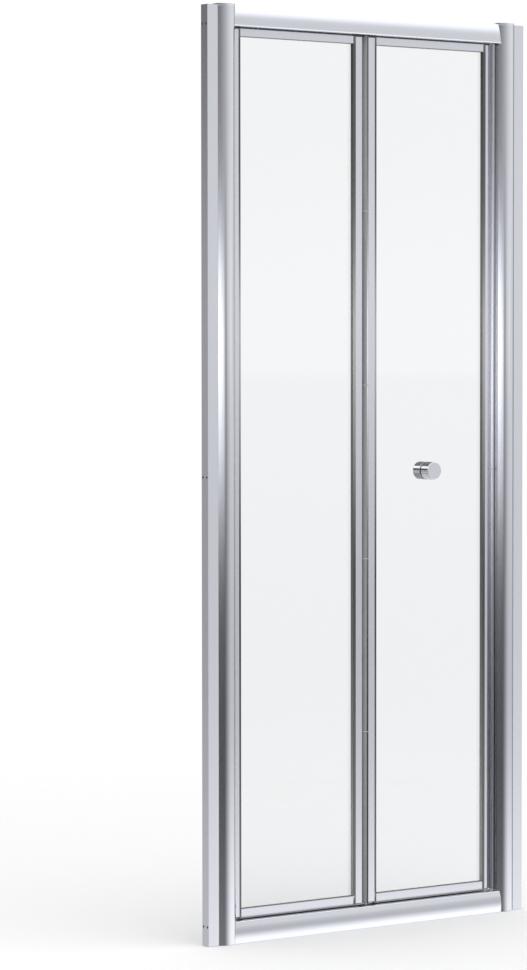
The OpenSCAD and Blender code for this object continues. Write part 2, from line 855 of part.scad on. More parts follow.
// Plates that close the stiles' ends, notched for the ends of the panel rails
module end_caps() {
    notch_gap = 0.1;
    color(BLACK) for (z = [panel_z0, panel_z1 - end_cap_t]) difference() {
        union() {
            translate([hinge_x0, stile_y0, z]) cube([hinge_stile_w, stile_d, end_cap_t]);
            translate([arm - outer_x1, stile_y0, z]) cube([outer_stile_w, stile_d, end_cap_t]);
        }
        translate([bay_x0 - channel_depth, rail_y0 - notch_gap, z - EPS])
            cube([bay_x1 - bay_x0 + 2 * channel_depth, panel_rail_d + 2 * notch_gap, end_cap_t + 2 * EPS]);
    }
}

// Carrier strip under the bottom rail with a lip down to the sill
module wiper() {
    side_inset = 0.5;
    lip_forward = 2;
    lip_h = panel_gap_low - wiper_t - wiper_gap;
    color(RUBBER) {
        translate([bay_x0, rail_y0 + side_inset, panel_z0 - wiper_t])
            cube([bay_x1 - bay_x0, panel_rail_d - 2 * side_inset, wiper_t]);
        translate([bay_x0, corner_port_y - wiper_lip_t / 2 - lip_forward, panel_z0 - wiper_t - lip_h])
            cube([bay_x1 - bay_x0, wiper_lip_t, lip_h + WELD]);
    }
}

module pivot_panel_top_rail() {
    color(POLISHED) top_rail();
}

module pivot_panel_bottom_rail() {
    color(POLISHED) low_rail();
}

module pivot_panel_glass() {
    color(GLASS) difference() {
        pane();
        translate([knob_x, glass_y - EPS, knob_z]) rotate([-90, 0, 0])
            cylinder(r = knob_hole_r, h = glass_t + 2 * EPS);
    }
}

module pivot_panel_gasket() {
    color(RUBBER) gasket();
}

module pivot_panel_corner_screws() {
    corner_screws();
}

module pivot_panel_end_caps() {
    end_caps();
}

module pivot_panel_wiper() {
    wiper();
}

// Pins fixed in a stile's nose, reaching into a block or shoe above and below
module nose_pins() {
    end_gap = 2;
    fixed_l = pin_bore - end_gap;
    color(STEEL) {
        translate([0, 0, panel_z0 - pin_reach]) cylinder(r = pin_r, h = pin_reach + fixed_l);
        translate([0, 0, panel_z1 - fixed_l]) cylinder(r = pin_r, h = fixed_l + pin_reach);
    }
}

module pivot_pins() {
    at_pivot_axis() nose_pins();
}

module guide_pins() {
    at_guide_axis() nose_pins();
}

// Nylon collars that carry the pivot panel on its blocks
module pivot_spacers() {
    face_gap = 0.1;
    low_h = panel_z0 - (block_low_z + block_h) - 2 * face_gap;
    top_h = block_top_z - panel_z1 - 2 * face_gap;
    color(NYLON) at_pivot_axis() {
        translate([0, 0, block_low_z + block_h + face_gap]) spacer(low_h);
        translate([0, 0, panel_z1 + face_gap]) spacer(top_h);
    }
}

module spacer(h) {
    difference() {
        cylinder(r = spacer_r, h = h);
        translate([0, 0, -EPS]) cylinder(r = pin_r + pin_seat, h = h + 2 * EPS);
    }
}

// Place of the screw on the flat of the pivot stile's nose, facing forward and slightly off the post
module nose_screw_place() {
    lean = 25;
    flat_depth = 0.5;
    translate([0, 0, nose_screw_z]) rotate([0, 0, lean]) translate([0, flat_depth - nose_r, 0])
        rotate([90, 0, 0]) children();
}

module nose_screw() {
    color(STEEL) at_pivot_axis() nose_screw_place() thread_cutter(nose_screw_l);
}

module fold_pin() {
    foot = 2.6;
    head = 1;
    color(STEEL) translate([0, axis_y, panel_z0 - foot])
        cylinder(r = pin_r, h = panel_z1 - panel_z0 + foot + head);
}

module fold_washers() {
    side_gap = (knuckle_gap - washer_t) / 2;
    rim_inset = 0.1;
    color(NYLON) for (k = [1:knuckles - 1])
        translate([0, axis_y, panel_z0 + k * knuckle_pitch - knuckle_gap + side_gap]) difference() {
            cylinder(r = nose_r - rim_inset, h = washer_t);
            translate([0, 0, -EPS]) cylinder(r = pin_r + pin_clear, h = washer_t + 2 * EPS);
        }
}

// Half of the knob, its back on the plane z = 0 and its face at z = length
module knob_half(length) {
    bevel = 1;
    hole_l = 14;
    difference() {
        rotate_extrude($fn = 96) polygon([
            [0, 0], [knob_r - bevel / 2, 0], [knob_r, bevel / 2], [knob_r, length - bevel],
            [knob_r - bevel, length], [0, length]
        ]);
        translate([0, 0, -EPS]) cylinder(r = knob_stud_r + pin_seat, h = hole_l + EPS);
    }
}

module knob_outer() {
    color(CHROME) translate([knob_x, glass_y - knob_washer_t, knob_z]) rotate([90, 0, 0])
        knob_half(knob_l - knob_washer_t);
}

module knob_inner() {
    color(CHROME) translate([knob_x, glass_y + glass_t + knob_washer_t, knob_z]) rotate([-90, 0, 0])
        knob_half(knob_l - knob_washer_t);
}

module knob_stud() {
    grip = 12;
    color(STEEL) translate([knob_x, glass_y - knob_washer_t - grip, knob_z]) rotate([-90, 0, 0])
        cylinder(r = knob_stud_r, h = glass_t + 2 * (knob_washer_t + grip));
}

// Soft washers with collars that keep the stud off the glass
module knob_washers() {
    collar_gap = 0.05;
    mid_gap = 0.1;
    rim_inset = 1.2;
    collar_l = glass_t / 2 - mid_gap;
    color(BLACK) for (s = [0, 1])
        translate([knob_x, glass_y + glass_t / 2, knob_z]) mirror([0, s, 0])
            translate([0, -glass_t / 2, 0]) rotate([90, 0, 0]) difference() {
                union() {
                    cylinder(r = knob_r - rim_inset, h = knob_washer_t);
                    translate([0, 0, -collar_l]) cylinder(r = knob_hole_r - collar_gap, h = collar_l + WELD);
                }
                translate([0, 0, -glass_t]) cylinder(r = knob_stud_r + collar_gap, h = 2 * glass_t);
            }
}

module slide_panel_top_rail() {
    color(POLISHED) on_slide_panel() top_rail();
}

module slide_panel_bottom_rail() {
    color(POLISHED) on_slide_panel() low_rail();
}

module slide_panel_glass() {
    color(GLASS) on_slide_panel() pane();
}

module slide_panel_gasket() {
    color(RUBBER) on_slide_panel() gasket();
}

module slide_panel_corner_screws() {
    on_slide_panel() corner_screws();
}

module slide_panel_end_caps() {
    on_slide_panel() end_caps();
}

module slide_panel_wiper() {
    on_slide_panel() wiper();
}

// Magnet strip that completes the round of the leading stile's nose
module leading_magnet() {
    seat_gap = 0.05;
    color(RUBBER) at_guide_axis() translate([0, 0, panel_z0]) linear_extrude(panel_z1 - panel_z0)
        intersection() {
            circle(r = nose_r);
            magnet_side(seat_gap);
        }
}

// ---- Guide shoes ----

module guide_shoe(z0) {
    color(BLACK) at_guide_axis() translate([0, 0, z0]) difference() {
        linear_extrude(shoe_h) shoe_plan(shoe_r, shoe_l);
        translate([0, 0, -EPS]) cylinder(r = pin_r + pin_clear, h = shoe_h + 2 * EPS);
    }
}

module guide_shoe_top() {
    guide_shoe(shoe_top_z);
}

module guide_shoe_bottom() {
    guide_shoe(shoe_low_z);
}

wall_channel_left();
wall_channel_right();
post_left();
post_right();
post_cap_left();
post_cap_right();
head_rail();
sill_rail();
rail_screws();
jamb_screws();
jamb_screw_covers();
strike_magnet();
pivot_side_seal();
pivot_block_top();
pivot_block_bottom();
pivot_block_screws();
pivot_stile();
pivot_hinge_stile();
pivot_panel_top_rail();
pivot_panel_bottom_rail();
pivot_panel_glass();
pivot_panel_gasket();
pivot_panel_corner_screws();
pivot_panel_end_caps();
pivot_panel_wiper();
pivot_pins();
pivot_spacers();
nose_screw();
fold_pin();
fold_washers();
knob_outer();
knob_inner();
knob_stud();
knob_washers();
leading_stile();
slide_hinge_stile();
slide_panel_top_rail();
slide_panel_bottom_rail();
slide_panel_glass();
slide_panel_gasket();
slide_panel_corner_screws();
slide_panel_end_caps();
slide_panel_wiper();
leading_magnet();
guide_pins();
guide_shoe_top();
guide_shoe_bottom();
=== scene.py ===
import functools
import json
import math

import bmesh
import bpy
from mathutils import Euler, Matrix, Vector


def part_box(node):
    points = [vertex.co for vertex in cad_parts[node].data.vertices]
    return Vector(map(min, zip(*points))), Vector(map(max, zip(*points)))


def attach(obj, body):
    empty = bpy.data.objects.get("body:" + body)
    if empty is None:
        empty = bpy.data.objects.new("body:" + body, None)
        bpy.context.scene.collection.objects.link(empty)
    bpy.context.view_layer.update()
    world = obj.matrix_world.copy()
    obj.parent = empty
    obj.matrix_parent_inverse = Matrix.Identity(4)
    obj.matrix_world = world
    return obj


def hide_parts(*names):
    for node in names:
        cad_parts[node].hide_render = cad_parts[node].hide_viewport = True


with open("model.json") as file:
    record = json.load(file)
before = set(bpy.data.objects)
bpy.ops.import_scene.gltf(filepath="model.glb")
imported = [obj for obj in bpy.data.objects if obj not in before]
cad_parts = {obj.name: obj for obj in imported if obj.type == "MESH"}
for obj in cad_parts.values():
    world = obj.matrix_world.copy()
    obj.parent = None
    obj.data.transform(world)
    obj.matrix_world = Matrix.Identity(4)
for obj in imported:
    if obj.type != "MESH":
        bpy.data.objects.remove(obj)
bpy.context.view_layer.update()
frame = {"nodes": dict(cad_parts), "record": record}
nodes = frame["nodes"]
body_of = {n: b for b, names in frame["record"]["behaviour"]["bodies"].items() for n in names}
MM = 0.001
SIDES = (-1, 1)

# ---- Sizes that the finish follows, read from the construction, in millimetres ----


def corners(node):
    """Low and high corner of a node's box, in millimetres."""
    low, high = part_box(node)
    return Vector(low) / MM, Vector(high) / MM


def centre(node):
    low, high = corners(node)
    return (low + high) / 2


# Axis of the hinge between the panels, and of the pivot at the right
AXIS_Y = centre("fold_pin").y
PIVOT_X = centre("pivot_pins").x
# Radius of a stile's round nose, the flat front and the foot of the panels, and the glass's middle
NOSE_R = -corners("pivot_hinge_stile")[0].x
STILE_Y = corners("pivot_panel_gasket")[0].y
PANEL_FOOT = corners("slide_hinge_stile")[0].z
GLASS_Y = centre("pivot_panel_glass").y

# Pan-head screw
HEAD_R = 2.9
HEAD_H = 1.6
TIP_L = 0.8

# ---- Node helpers ----


def add(tree, kind, inputs=None, **settings):
    """A node of a tree, with its settings and its linked or plain input values."""
    node = tree.nodes.new(kind)
    for key, value in settings.items():
        setattr(node, key, value)
    for key, value in (inputs or {}).items():
        if isinstance(value, bpy.types.NodeSocket):
            tree.links.new(value, node.inputs[key])
        else:
            node.inputs[key].default_value = value
    return node


def math_node(tree, operation, *values, clamp=False):
    inputs = dict(enumerate(values))
    return add(tree, "ShaderNodeMath", inputs, operation=operation, use_clamp=clamp).outputs[0]


def times(tree, *values):
    return functools.reduce(lambda a, b: math_node(tree, "MULTIPLY", a, b), values)


def plus(tree, *values):
    return functools.reduce(lambda a, b: math_node(tree, "ADD", a, b), values)


def one_less(tree, value):
    return math_node(tree, "SUBTRACT", 1.0, value)


def blend(tree, mask, first, second):
    return plus(tree, times(tree, one_less(tree, mask), first), times(tree, mask, second))


def smooth_step(tree, value, low, high):
    """0 at low and 1 at high, smooth between them; it falls where low is above high."""
    inputs = {"Value": value, "From Min": low, "From Max": high}
    step = add(tree, "ShaderNodeMapRange", inputs, interpolation_type="SMOOTHSTEP")
    return step.outputs["Result"]


def between(tree, mask, low, high):
    """A value that goes from low to high with a mask."""
    inputs = {"Value": mask, "To Min": low, "To Max": high}
    return add(tree, "ShaderNodeMapRange", inputs).outputs["Result"]


def object_place(tree):
    return add(tree, "ShaderNodeTexCoord").outputs["Object"]


def height_of(tree, vector):
    return add(tree, "ShaderNodeSeparateXYZ", {"Vector": vector}).outputs["Z"]


def noise(tree, place, scale, detail, rough=0.5):
    inputs = {"Vector": place, "Scale": scale, "Detail": detail, "Roughness": rough}
    return add(tree, "ShaderNodeTexNoise", inputs).outputs["Fac"]


def bump(tree, pattern, strength, depth):
    """Normal of a pattern that stands up by a depth in metres."""
    inputs = {"Height": pattern, "Strength": strength, "Distance": depth}
    return add(tree, "ShaderNodeBump", inputs).outputs["Normal"]


def new_group(name, kind, inputs, outputs):
    """An empty node group with named sockets, and its input and output nodes."""
    tree = bpy.data.node_groups.new(name, kind)
    for label, socket_kind, value in inputs:
        socket = tree.interface.new_socket(label, in_out="INPUT", socket_type=socket_kind)
        if value is not None:
            socket.default_value = value
    for label, socket_kind in outputs:
        tree.interface.new_socket(label, in_out="OUTPUT", socket_type=socket_kind)
    return tree, add(tree, "NodeGroupInput"), add(tree, "NodeGroupOutput")


def put_out(tree, end, **sockets):
    """Links what a group puts out."""
    for label, socket in sockets.items():
        tree.links.new(socket, end.inputs[label])


# ---- Shared surface effects ----

LINE_DEPTH = 0.02 * MM
SKIN_DEPTH = 0.05 * MM


def drawn_lines_group():
    """Fine lines that an extrusion die leaves; Stretch is the pattern's scale on each axis."""
    tree, start, end = new_group(
        "drawn_lines", "ShaderNodeTree",
        [("Stretch", "NodeSocketVector", (1500, 1500, 3)), ("Depth", "NodeSocketFloat", 0.2)],
        [("Lines", "NodeSocketFloat"), ("Normal", "NodeSocketVector")])
    stretched = {"Vector": object_place(tree), "Scale": start.outputs["Stretch"]}
    place = add(tree, "ShaderNodeMapping", stretched).outputs[0]
    lines = noise(tree, place, scale=1.0, detail=3.0, rough=0.6)
    put_out(tree, end, Lines=lines, Normal=bump(tree, lines, start.outputs["Depth"], LINE_DEPTH))
    return tree


def worn_edges_group():
    """Mask of the rounded edges, broken up where hands and cloths have rubbed them."""
    tree, start, end = new_group(
        "worn_edges", "ShaderNodeTree",
        [("Amount", "NodeSocketFloat", 0.5), ("Patches", "NodeSocketFloat", 40.0)],
        [("Mask", "NodeSocketFloat")])
    edge = add(tree, "ShaderNodeAttribute", attribute_name="edge").outputs["Fac"]
    rubbing = noise(tree, object_place(tree), start.outputs["Patches"], detail=4.0)
    patch = times(tree, smooth_step(tree, rubbing, 0.35, 0.65), start.outputs["Amount"])
    put_out(tree, end, Mask=times(tree, edge, patch))
    return tree


def dried_drops_group():
    """Mask of faint rings where drops have dried, with larger wiped streaks between them."""
    ring_r, ring_w, ring_blur = 0.22, 0.02, 0.07
    drop_share, share_blur, streak_strength = 0.2, 0.02, 0.4
    tree, start, end = new_group(
        "dried_drops", "ShaderNodeTree",
        [("Amount", "NodeSocketFloat", 0.3), ("Drops", "NodeSocketFloat", 160.0)],
        [("Mask", "NodeSocketFloat")])
    place = object_place(tree)
    cells = add(tree, "ShaderNodeTexVoronoi", {"Vector": place, "Scale": start.outputs["Drops"]})
    off_ring = math_node(tree, "SUBTRACT", cells.outputs["Distance"], ring_r)
    off_ring = math_node(tree, "ABSOLUTE", off_ring)
    ring = one_less(tree, smooth_step(tree, off_ring, ring_w, ring_blur))
    chance = add(tree, "ShaderNodeSeparateColor", {"Color": cells.outputs["Color"]}).outputs["Red"]
    least = 1 - drop_share
    chosen = smooth_step(tree, chance, least - share_blur, least + share_blur)
    streak = smooth_step(tree, noise(tree, place, scale=14.0, detail=5.0), 0.45, 0.75)
    streak = times(tree, streak, streak_strength)
    marks = math_node(tree, "MAXIMUM", times(tree, ring, chosen), streak)
    put_out(tree, end, Mask=times(tree, marks, start.outputs["Amount"]))
    return tree


def moulded_skin_group():
    """Skin of moulded rubber and plastic: a fine pebble for the bump and a slow change of tone."""
    tree, start, end = new_group(
        "moulded_skin", "ShaderNodeTree",
        [("Pebble", "NodeSocketFloat", 2500.0), ("Depth", "NodeSocketFloat", 0.3)],
        [("Tone", "NodeSocketFloat"), ("Normal", "NodeSocketVector")])
    place = object_place(tree)
    pebble = noise(tree, place, start.outputs["Pebble"], detail=2.0)
    normal = bump(tree, pebble, start.outputs["Depth"], SKIN_DEPTH)
    put_out(tree, end, Tone=noise(tree, place, scale=22.0, detail=4.0), Normal=normal)
    return tree


def settled_dust_group():
    """Mask of the dust that lies on faces that look up."""
    tree, start, end = new_group(
        "settled_dust", "ShaderNodeTree",
        [("Amount", "NodeSocketFloat", 0.3)], [("Mask", "NodeSocketFloat")])
    normal = add(tree, "ShaderNodeNewGeometry").outputs["True Normal"]
    up = smooth_step(tree, height_of(tree, normal), 0.6, 0.95)
    grains = noise(tree, object_place(tree), scale=260.0, detail=6.0)
    specks = smooth_step(tree, grains, 0.3, 0.8)
    put_out(tree, end, Mask=times(tree, up, specks, start.outputs["Amount"]))
    return tree


DRAWN_LINES = drawn_lines_group()
WORN_EDGES = worn_edges_group()
DRIED_DROPS = dried_drops_group()
MOULDED_SKIN = moulded_skin_group()
SETTLED_DUST = settled_dust_group()

# Scale of the drawn lines on a profile that stands up and on one that lies along the door
UPRIGHT = (1600, 1600, 3)
LYING = (3, 1600, 1600)

# ---- Materials ----

METAL_DUST = (0.62, 0.61, 0.59)
RUBBER_DUST = (0.55, 0.54, 0.52)
BARE_CHROME = (0.95, 0.95, 0.96)


def effect(tree, group, **values):
    """Outputs of a shared effect that is placed in a material with its own values."""
    node = add(tree, "ShaderNodeGroup", node_tree=group)
    for label, value in values.items():
        node.inputs[label].default_value = value
    return node.outputs


def start_material(name):
    material = bpy.data.materials.new(name)
    material.use_nodes = True
    tree = material.node_tree
    return material, tree, tree.nodes["Principled BSDF"]


def set_shader(tree, shader, values):
    """Gives a shader its linked and plain values."""
    for label, value in values.items():
        if isinstance(value, bpy.types.NodeSocket):
            tree.links.new(value, shader.inputs[label])
        else:
            shader.inputs[label].default_value = value


def mix_colour(tree, mask, first, second):
    node = add(tree, "ShaderNodeMix", {"Factor": mask}, data_type="RGBA")
    for index, value in ((6, first), (7, second)):
        if isinstance(value, bpy.types.NodeSocket):
            tree.links.new(value, node.inputs[index])
        else:
            node.inputs[index].default_value = (*value, 1)
    return node.outputs[2]


def toned(colour, gain, lift=0.0):
    return [min(1, c * gain + lift) for c in colour]


def varied(tree, mask, rough):
    """A roughness that a mask varies by 15 percent to each side."""
    return between(tree, mask, rough * 0.85, rough * 1.15)


def drawn_metal(name, colour, rough, stretch, depth):
    """Anodised aluminium profile: drawn lines, rubbed edges, dried drops and a little dust."""
    drop_haze = 0.12
    material, tree, shader = start_material(name)
    lines = effect(tree, DRAWN_LINES, Stretch=stretch, Depth=depth)
    edges = effect(tree, WORN_EDGES, Amount=0.6)["Mask"]
    drops = effect(tree, DRIED_DROPS, Amount=0.1)["Mask"]
    dust = effect(tree, SETTLED_DUST, Amount=0.1)["Mask"]
    streaked = mix_colour(tree, lines["Lines"], toned(colour, 0.96), toned(colour, 1.03))
    rubbed = mix_colour(tree, edges, streaked, toned(colour, 1.12))
    marked = plus(tree, varied(tree, lines["Lines"], rough), times(tree, drops, drop_haze))
    set_shader(tree, shader, {
        "Base Color": mix_colour(tree, dust, rubbed, METAL_DUST),
        "Roughness": math_node(tree, "ADD", marked, dust, clamp=True),
        "Normal": lines["Normal"], "Metallic": 1.0})
    return material


def plated_metal(name, colour, rough):
    """Chrome plate: even colour, faint dried drops and rubbed edges."""
    material, tree, shader = start_material(name)
    edges = effect(tree, WORN_EDGES, Amount=0.3, Patches=200.0)["Mask"]
    drops = effect(tree, DRIED_DROPS, Amount=0.3, Drops=420.0)["Mask"]
    skin = effect(tree, MOULDED_SKIN, Pebble=900.0, Depth=0.03)
    plate = mix_colour(tree, skin["Tone"], toned(colour, 0.97), toned(colour, 1.02))
    set_shader(tree, shader, {
        "Base Color": mix_colour(tree, edges, plate, BARE_CHROME),
        "Roughness": between(tree, drops, rough, rough + 0.2),
        "Normal": skin["Normal"], "Metallic": 1.0})
    return material


def turned_face(name, colour, rough, middle):
    """Satin face of the knob, with the rings that a lathe tool leaves round its middle."""
    material, tree, shader = start_material(name)
    centred = {"Vector": object_place(tree), "Location": [-c for c in middle]}
    tool_path = {"Vector": add(tree, "ShaderNodeMapping", centred).outputs[0],
                 "Scale": 420.0, "Distortion": 0.4}
    rings = add(tree, "ShaderNodeTexWave", tool_path, wave_type="RINGS",
                rings_direction="Y").outputs["Fac"]
    drops = effect(tree, DRIED_DROPS, Amount=0.4, Drops=500.0)["Mask"]
    set_shader(tree, shader, {
        "Base Color": mix_colour(tree, rings, toned(colour, 0.97), colour),
        "Roughness": between(tree, drops, rough, rough + 0.15),
        "Normal": bump(tree, rings, 0.1, LINE_DEPTH), "Metallic": 1.0})
    return material


def painted_foot_light(tree, colour, lit_foot_colour):
    """A colour painted paler from the middle of the door to its foot, at heights in metres: painted
    light, as if bounced up onto the foot from below.
    """
    pale_from, pale_to = 0.95, 0.1
    low = smooth_step(tree, height_of(tree, object_place(tree)), pale_from, pale_to)
    return mix_colour(tree, low, colour, lit_foot_colour)


def moulded(name, colour, rough, specular=0.5, depth=0.3, pebble=2500.0, dusty=0.3, ior=1.5,
            lit_foot_colour=None):
    """Rubber or plastic with a moulded skin, rubbed edges and dust on what looks up; with a lit
    foot colour, painted light also pales it towards the foot.
    """
    material, tree, shader = start_material(name)
    skin = effect(tree, MOULDED_SKIN, Pebble=pebble, Depth=depth)
    dust = effect(tree, SETTLED_DUST, Amount=dusty)["Mask"]
    edges = effect(tree, WORN_EDGES, Amount=0.4, Patches=90.0)["Mask"]
    mottled = mix_colour(tree, skin["Tone"], toned(colour, 0.88), toned(colour, 1.12))
    rubbed = mix_colour(tree, edges, mottled, toned(colour, 1.25, 0.01))
    # Painted light: with a lit foot colour, the colour pales towards the foot as if lit from below.
    if lit_foot_colour:
        rubbed = painted_foot_light(tree, rubbed, lit_foot_colour)
    set_shader(tree, shader, {
        "Base Color": mix_colour(tree, dust, rubbed, RUBBER_DUST),
        "Roughness": varied(tree, skin["Tone"], rough),
        "Normal": skin["Normal"], "Specular IOR Level": specular, "IOR": ior})
    return material


def pane_glass(name, tint):
    """Clear toughened glass with a trace of dried drops."""
    material, tree, shader = start_material(name)
    drops = effect(tree, DRIED_DROPS, Amount=0.12, Drops=110.0)["Mask"]
    set_shader(tree, shader, {
        "Base Color": mix_colour(tree, drops, tint, toned(tint, 1.02)),
        "Roughness": between(tree, drops, 0.0, 0.06),
        "IOR": 1.6, "Transmission Weight": 1.0})
    return material


ALUMINIUM = (0.56, 0.57, 0.62)
# Painted shade: a darker metal for the knuckle ridges, standing in for the shaded gap line beside
# each knuckle.
RIDGE_SHADE = (0.34, 0.345, 0.365)
CHROME = (0.60, 0.61, 0.65)
STEEL = (0.60, 0.61, 0.63)
SATIN = (0.50, 0.51, 0.55)
CLEAR = (0.885, 0.892, 0.90)
# The gasket's foot colour is painted light: its black paled near the foot, as if lit from below.
JET, JET_LIT_FOOT = (0.009, 0.01, 0.011), (0.16, 0.163, 0.168)

finishes = {
    "post_metal": drawn_metal("post_metal", ALUMINIUM, 0.1, UPRIGHT, 0.06),
    "rail_metal": drawn_metal("rail_metal", ALUMINIUM, 0.12, LYING, 0.06),
    "channel_metal": drawn_metal("channel_metal", ALUMINIUM, 0.22, UPRIGHT, 0.1),
    "stile_metal": drawn_metal("stile_metal", ALUMINIUM, 0.14, UPRIGHT, 0.06),
    "panel_rail_metal": drawn_metal("panel_rail_metal", ALUMINIUM, 0.16, LYING, 0.06),
    # The ridge's metal is painted dark: painted shade of the gap beside each knuckle.
    "ridge_shaded_metal": drawn_metal("ridge_shaded_metal", RIDGE_SHADE, 0.1, UPRIGHT, 0.05),
    "cap_plate": plated_metal("cap_plate", CHROME, 0.14),
    "knob_plate": plated_metal("knob_plate", CHROME, 0.05),
    "cover": plated_metal("cover", CHROME, 0.12),
    "screw_steel": plated_metal("screw_steel", STEEL, 0.24),
    "knob_face": turned_face("knob_face", SATIN, 0.34, centre("knob_outer") * MM),
    "pane": pane_glass("pane", CLEAR),
    # The gasket's foot is painted lighter: painted light from below.
    "gasket": moulded("gasket", JET, 0.08, depth=0.05, dusty=0.05, ior=2.6, lit_foot_colour=JET_LIT_FOOT),
    "wiper_rubber": moulded("wiper_rubber", (0.24, 0.245, 0.25), 0.35),
    "knuckle_coat": moulded("knuckle_coat", (0.26, 0.265, 0.28), 0.5, depth=0.08, dusty=0.1),
    "seal": moulded("seal", (0.06, 0.06, 0.065), 0.4, specular=0.6),
    "black": moulded("black", (0.02, 0.02, 0.022), 0.45, pebble=1800.0),
    "nylon": moulded("nylon", (0.72, 0.72, 0.70), 0.4),
}

FINISH_OF = {
    "wall_channel_left": "channel_metal", "wall_channel_right": "channel_metal",
    "post_left": "post_metal", "post_right": "post_metal",
    "post_cap_left": "cap_plate", "post_cap_right": "cap_plate",
    "head_rail": "rail_metal", "sill_rail": "rail_metal",
    "rail_screws": "screw_steel", "jamb_screws": "screw_steel", "jamb_screw_covers": "cover",
    "strike_magnet": "seal", "pivot_side_seal": "seal", "leading_magnet": "seal",
    "pivot_block_top": "nylon", "pivot_block_bottom": "nylon", "pivot_block_screws": "screw_steel",
    "pivot_spacers": "nylon", "fold_washers": "nylon",
    "pivot_stile": "stile_metal", "pivot_hinge_stile": "stile_metal",
    "leading_stile": "stile_metal", "slide_hinge_stile": "stile_metal",
    "pivot_pins": "screw_steel", "guide_pins": "screw_steel", "fold_pin": "screw_steel",
    "nose_screw": "screw_steel", "knob_stud": "screw_steel", "knob_washers": "black",
    "knob_outer": "knob_plate", "knob_inner": "knob_plate",
    "guide_shoe_top": "black", "guide_shoe_bottom": "black",
}
for panel in ("pivot_panel", "slide_panel"):
    FINISH_OF.update({
        panel + "_top_rail": "panel_rail_metal", panel + "_bottom_rail": "panel_rail_metal",
        panel + "_glass": "pane", panel + "_gasket": "gasket", panel + "_wiper": "wiper_rubber",
        panel + "_corner_screws": "screw_steel", panel + "_end_caps": "black",
    })

# ---- Pieces ----

# Vertices nearer than this are one, in metres
WELD = 1e-6


def finish_piece(piece, *replaced):
    """Puts a piece on the body of the nodes that it stands for, and hides those nodes."""
    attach(piece, body_of[replaced[0]])
    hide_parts(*replaced)
    return piece


def trim_on(piece, node):
    """Puts a piece on a node's body; the node stays under it."""
    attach(piece, body_of[node])
    return piece


def new_piece(name, mesh, *materials):
    piece = bpy.data.objects.new(name, mesh)
    bpy.context.scene.collection.objects.link(piece)
    for material in materials:
        mesh.materials.append(material)
    return piece


def plain_mesh(piece, name):
    """Turns a piece with modifiers into a plain mesh piece."""
    graph = bpy.context.evaluated_depsgraph_get()
    mesh = bpy.data.meshes.new_from_object(piece.evaluated_get(graph), depsgraph=graph)
    mesh.name = name
    piece.modifiers.clear()
    old, piece.data = piece.data, mesh
    bpy.data.meshes.remove(old)
    return piece


def merged_copy(node):
    """A node's mesh with its loose triangles joined and its flat faces whole."""
    solid = bmesh.new()
    solid.from_mesh(nodes[node].data)
    flat = math.radians(0.5)
    bmesh.ops.remove_doubles(solid, verts=solid.verts, dist=WELD)
    bmesh.ops.dissolve_limit(solid, angle_limit=flat, verts=solid.verts, edges=solid.edges)
    return solid


def round_edges(solid, width):
    """Rounds a mesh's sharp edges and marks the new faces in the attribute edge."""
    sharpest = math.radians(30)
    layer = solid.faces.layers.float.new("edge")
    sharp = [e for e in solid.edges if e.is_manifold and e.calc_face_angle() > sharpest]
    made = bmesh.ops.bevel(solid, geom=sharp, offset=width, offset_type="OFFSET", segments=2,
                           profile=0.5, affect="EDGES", clamp_overlap=True)
    for face in made["faces"]:
        face[layer] = 1.0


def smooth_piece(name, solid, *materials, sharpest=50):
    """A smooth-shaded piece of a solid, creased where its faces meet sharply."""
    for face in solid.faces:
        face.smooth = True
    mesh = bpy.data.meshes.new(name)
    solid.to_mesh(mesh)
    solid.free()
    mesh.set_sharp_from_angle(angle=math.radians(sharpest))
    piece = new_piece(name, mesh, *materials)
    weighted = piece.modifiers.new("weighted", "WEIGHTED_NORMAL")
    weighted.keep_sharp = True
    return plain_mesh(piece, name)


def dressed_copy(node, width):
    """Stands for a node with the same solid, its edges rounded, in its finish."""
    solid = merged_copy(node)
    round_edges(solid, width)
    return finish_piece(smooth_piece(node + "_dressed", solid, finishes[FINISH_OF[node]]), node)


def hinge_stile(node):
    """Stile with knuckles: the barrels of the knuckles have a matte coat, the rest is polished."""
    barrel_r = (NOSE_R + 0.05) * MM
    solid = merged_copy(node)
    round_edges(solid, 0.3 * MM)
    for face in solid.faces:
        spot = face.calc_center_median()
        on_barrel = math.hypot(spot.x, spot.y - AXIS_Y * MM) < barrel_r
        if on_barrel and abs(face.normal.z) < 0.5:
            face.material_index = 1
    piece = smooth_piece(node + "_dressed", solid, finishes["stile_metal"],
                         finishes["knuckle_coat"])
    return finish_piece(piece, node)


def cut_across(solid, heights):
    """Cuts a solid level at each height."""
    for z in heights:
        everything = solid.verts[:] + solid.edges[:] + solid.faces[:]
        bmesh.ops.bisect_plane(solid, geom=everything, plane_co=(0, 0, z), plane_no=(0, 0, 1))


def slope_fronts(solid, middle, foot, head):
    """Moves the left front edge of both upright beads back, far between foot and head."""
    slope, shallow, edge_w = 3.0 * MM, 1.6 * MM, 1 * MM
    front = [v for v in solid.verts if abs(v.co.y - STILE_Y * MM) < 0.01 * MM]
    for bead in ([v for v in front if v.co.x < middle], [v for v in front if v.co.x > middle]):
        left = min(v.co.x for v in bead)
        for vert in bead:
            if vert.co.x < left + edge_w:
                vert.co.y += slope if foot < vert.co.z < head else shallow


def glazing_gasket(node):
    """Gasket whose upright beads slope at the front, flush at the right and deep at the left."""
    foot_end, head_end, ramp = 17 * MM, 16 * MM, 2 * MM
    low, high = (Vector(c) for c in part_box(node))
    foot, head = low.z + foot_end, high.z - head_end
    solid = merged_copy(node)
    cut_across(solid, (foot, foot + ramp, head - ramp, head))
    slope_fronts(solid, (low.x + high.x) / 2, foot + ramp / 2, head - ramp / 2)
    round_edges(solid, 0.15 * MM)
    piece = smooth_piece(node + "_dressed", solid, finishes["gasket"], sharpest=40)
    return finish_piece(piece, node)


# ---- Knob ----


